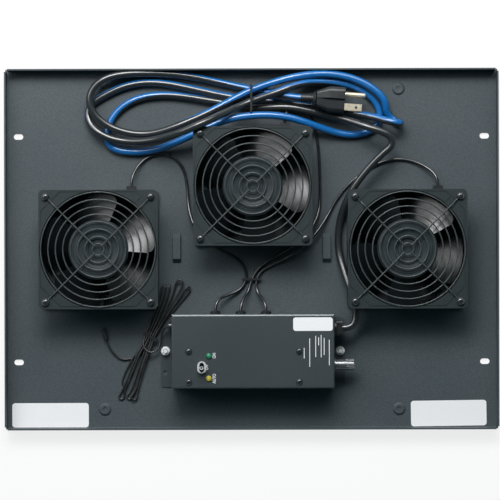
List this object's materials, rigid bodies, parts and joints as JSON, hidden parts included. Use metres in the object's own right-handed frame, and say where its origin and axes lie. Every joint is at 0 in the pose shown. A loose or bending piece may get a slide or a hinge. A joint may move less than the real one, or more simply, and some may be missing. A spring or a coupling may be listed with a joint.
{
  "type": "rack fan tray",
  "caption": "Shallow steel tray with guarded axial fans, a control box with switch, lamps and fuse, a mains cord and a temperature probe lead.",
  "frame": {"origin": "centre of the tray's underside", "axes": "+Z away from the underside, on the side that the fans stand on; +Y away from the control box; +X to the right seen from above with +Y up"},
  "size_m": [0.4976, 0.3634, 0.056],
  "materials": {
    "powder_coat": "fine textured powder coat",
    "fan_casting": "satin black",
    "bronze": "sintered",
    "steel": "ground",
    "blade_plastic": "glossy black",
    "guard_wire": "glossy black",
    "black_plastic": "moulded",
    "lead_jacket": "satin",
    "black_steel": "black",
    "zinc": "zinc plated",
    "board": "solder mask",
    "nylon": "natural",
    "transformer_iron": "varnished",
    "relay_case": "moulded",
    "terminal_green": "moulded",
    "lens_green": "translucent",
    "lens_amber": "translucent",
    "nickel": "nickel plated",
    "grommet_rubber": "satin",
    "cord_jacket": "satin",
    "plug_plastic": "moulded",
    "blade_metal": "nickel plated",
    "probe_jacket": "satin"
  },
  "bodies": {
    "tray": {"panel": "powder_coat", "control_box": "powder_coat", "left_fan_frame": "fan_casting", "left_fan_stator": "fan_casting", "left_fan_bearing": "bronze", "left_fan_guard": "guard_wire", "left_fan_lead_plug": "black_plastic", "left_fan_lead": "lead_jacket", "middle_fan_frame": "fan_casting", "middle_fan_stator": "fan_casting", "middle_fan_bearing": "bronze", "middle_fan_guard": "guard_wire", "middle_fan_lead_plug": "black_plastic", "middle_fan_lead": "lead_jacket", "right_fan_frame": "fan_casting", "right_fan_stator": "fan_casting", "right_fan_bearing": "bronze", "right_fan_guard": "guard_wire", "right_fan_lead_plug": "black_plastic", "right_fan_lead": "lead_jacket", "guard_screws": "black_steel", "fan_mount_screws": "black_steel", "fan_nuts": "zinc", "control_box_studs": "zinc", "control_box_nuts": "zinc", "cover_screws": "zinc", "circuit_board": "board", "board_standoffs": "nylon", "transformer": "transformer_iron", "relay": "relay_case", "terminal_block": "terminal_green", "led_green": "lens_green", "led_yellow": "lens_amber", "switch_body": "black_plastic", "fuse_holder": "black_plastic", "strain_relief": "black_plastic", "power_cord_tie": "black_plastic", "probe_lead_tie": "black_plastic", "fan_lead_tie": "black_plastic", "probe_tip": "nickel", "lead_grommets": "grommet_rubber", "probe_grommet": "grommet_rubber", "power_cord": "cord_jacket", "power_cord_hank_left": "cord_jacket", "power_cord_hank_right": "cord_jacket", "power_plug_body": "plug_plastic", "power_plug_blades": "blade_metal", "power_plug_ground_pin": "blade_metal", "probe_lead": "probe_jacket", "probe_tail": "probe_jacket", "probe_lead_hank": "probe_jacket"},
    "left_rotor": {"left_fan_impeller": "blade_plastic", "left_fan_shaft": "steel"},
    "middle_rotor": {"middle_fan_impeller": "blade_plastic", "middle_fan_shaft": "steel"},
    "right_rotor": {"right_fan_impeller": "blade_plastic", "right_fan_shaft": "steel"},
    "switch_lever": {"switch_lever": "nickel"},
    "fuse_cap": {"fuse_cap": "black_plastic", "fuse": "nickel"}
  },
  "joints": [
    {"name": "left_rotor_spin", "type": "hinge", "parent": "tray", "child": "left_rotor", "pos_m": [-0.153, 0, 0.022], "axis": [0, 0, 1], "continuous": true},
    {"name": "middle_rotor_spin", "type": "hinge", "parent": "tray", "child": "middle_rotor", "pos_m": [0.0012, 0.063, 0.022], "axis": [0, 0, 1], "continuous": true},
    {"name": "right_rotor_spin", "type": "hinge", "parent": "tray", "child": "right_rotor", "pos_m": [0.1555, 0, 0.022], "axis": [0, 0, 1], "continuous": true},
    {"name": "switch_toggle", "type": "hinge", "parent": "tray", "child": "switch_lever", "pos_m": [-0.05, -0.1176, 0.0365], "axis": [1, 0, 0], "range_deg": [-12, 12]},
    {"name": "fuse_cap_turn", "type": "hinge", "parent": "tray", "child": "fuse_cap", "pos_m": [0.09, -0.1162, 0.02], "axis": [1, 0, 0], "range_deg": [-90, 0]}
  ]
}
